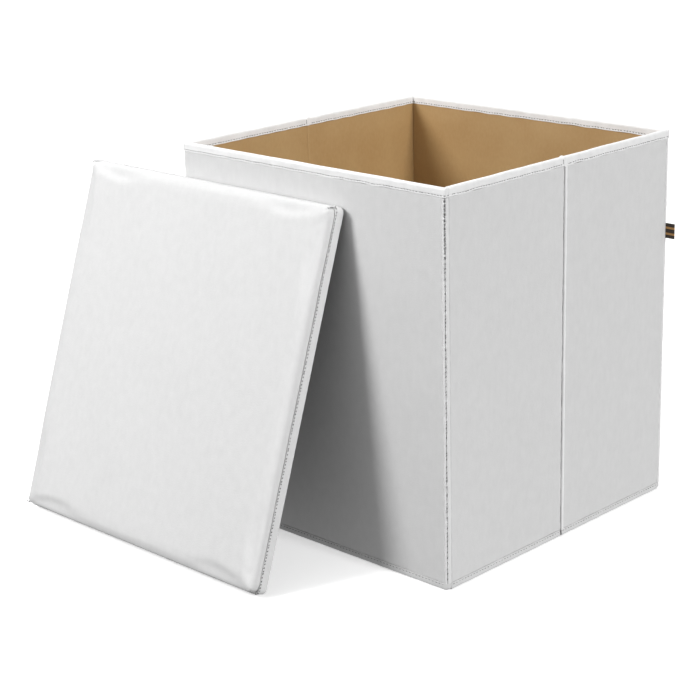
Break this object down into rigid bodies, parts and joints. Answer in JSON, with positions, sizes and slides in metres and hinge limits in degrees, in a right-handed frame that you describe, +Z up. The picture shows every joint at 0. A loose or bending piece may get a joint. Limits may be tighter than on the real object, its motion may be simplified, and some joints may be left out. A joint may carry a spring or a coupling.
{
  "type": "folding storage ottoman",
  "caption": "Cloth-covered square storage ottoman with folding walls, a tan lining and a loose padded lid that leans on its front wall.",
  "frame": {"origin": "middle of the box's base, on the floor", "axes": "+Z up; +X along the front wall, to the right as seen from the front; +Y from the front wall to the back wall"},
  "size_m": [0.5298, 0.5337, 0.424],
  "materials": {
    "velvet": "light grey short-pile velvet",
    "binding_tape": "white woven binding tape",
    "lining": "tan non-woven lining",
    "underside_cloth": "dark non-woven cloth",
    "stiff_board": "grey-brown hardboard",
    "plywood": "plain plywood",
    "foam": "upholstery foam",
    "label": "woven ribbon, dark with tan stripes"
  },
  "bodies": {
    "base": {"front_cover": "velvet", "front_board": "stiff_board", "front_lining": "lining", "front_binding": "binding_tape", "corner_seam_front_left": "velvet", "corner_seam_front_right": "velvet", "base_cloth": "underside_cloth", "hem_front": "velvet", "hem_back": "velvet", "hem_right_near": "velvet", "hem_right_far": "velvet", "hem_left_near": "velvet", "hem_left_far": "velvet"},
    "right_near_wall": {"right_near_cover": "velvet", "right_near_board": "stiff_board", "right_near_lining": "lining", "right_near_binding": "binding_tape", "crease_cord_right": "velvet"},
    "right_far_wall": {"right_far_cover": "velvet", "right_far_board": "stiff_board", "right_far_lining": "lining", "right_far_binding": "binding_tape"},
    "back_wall": {"back_cover": "velvet", "back_board": "stiff_board", "back_lining": "lining", "back_binding": "binding_tape", "corner_seam_back_left": "velvet", "corner_seam_back_right": "velvet", "side_label": "label"},
    "left_near_wall": {"left_near_cover": "velvet", "left_near_board": "stiff_board", "left_near_lining": "lining", "left_near_binding": "binding_tape", "crease_cord_left": "velvet"},
    "left_far_wall": {"left_far_cover": "velvet", "left_far_board": "stiff_board", "left_far_lining": "lining", "left_far_binding": "binding_tape"},
    "floor_board": {"base_board": "stiff_board", "base_lining": "lining"},
    "lid": {"lid_cover": "velvet", "lid_foam": "foam", "lid_board": "plywood", "lid_underside": "underside_cloth", "lid_binding_left": "binding_tape", "lid_binding_right": "binding_tape", "lid_binding_lower": "binding_tape", "lid_binding_upper": "binding_tape"}
  },
  "joints": [
    {"name": "fold", "type": "hinge", "parent": "base", "child": "right_near_wall", "pos_m": [0.185, -0.183, 0.2], "axis": [0, 0, 1], "range_deg": [0, 77]},
    {"name": "right_crease", "type": "hinge", "parent": "right_near_wall", "child": "right_far_wall", "pos_m": [0.1918, 0, 0.2], "axis": [0, 0, 1], "range_deg": [-154, 0]},
    {"name": "back_corner", "type": "hinge", "parent": "right_far_wall", "child": "back_wall", "pos_m": [0.185, 0.183, 0.2], "axis": [0, 0, 1], "range_deg": [0, 77]},
    {"name": "left_corner", "type": "hinge", "parent": "base", "child": "left_near_wall", "pos_m": [-0.185, -0.183, 0.2], "axis": [0, 0, 1], "range_deg": [-77, 0]},
    {"name": "left_crease", "type": "hinge", "parent": "left_near_wall", "child": "left_far_wall", "pos_m": [-0.1918, 0, 0.2], "axis": [0, 0, 1], "range_deg": [0, 154]},
    {"name": "floor_board_lift", "type": "slide", "parent": "base", "child": "floor_board", "axis": [0, 0, 1], "range_m": [0, 0.44]},
    {"name": "lid_lift", "type": "slide", "parent": "base", "child": "lid", "axis": [0, 0, 1], "range_m": [0, 0.45]}
  ],
  "couplings": [
    {"joint": "right_crease", "follows": "fold", "ratio": -2},
    {"joint": "back_corner", "follows": "fold", "ratio": 1},
    {"joint": "left_corner", "follows": "fold", "ratio": -1},
    {"joint": "left_crease", "follows": "fold", "ratio": 2}
  ]
}
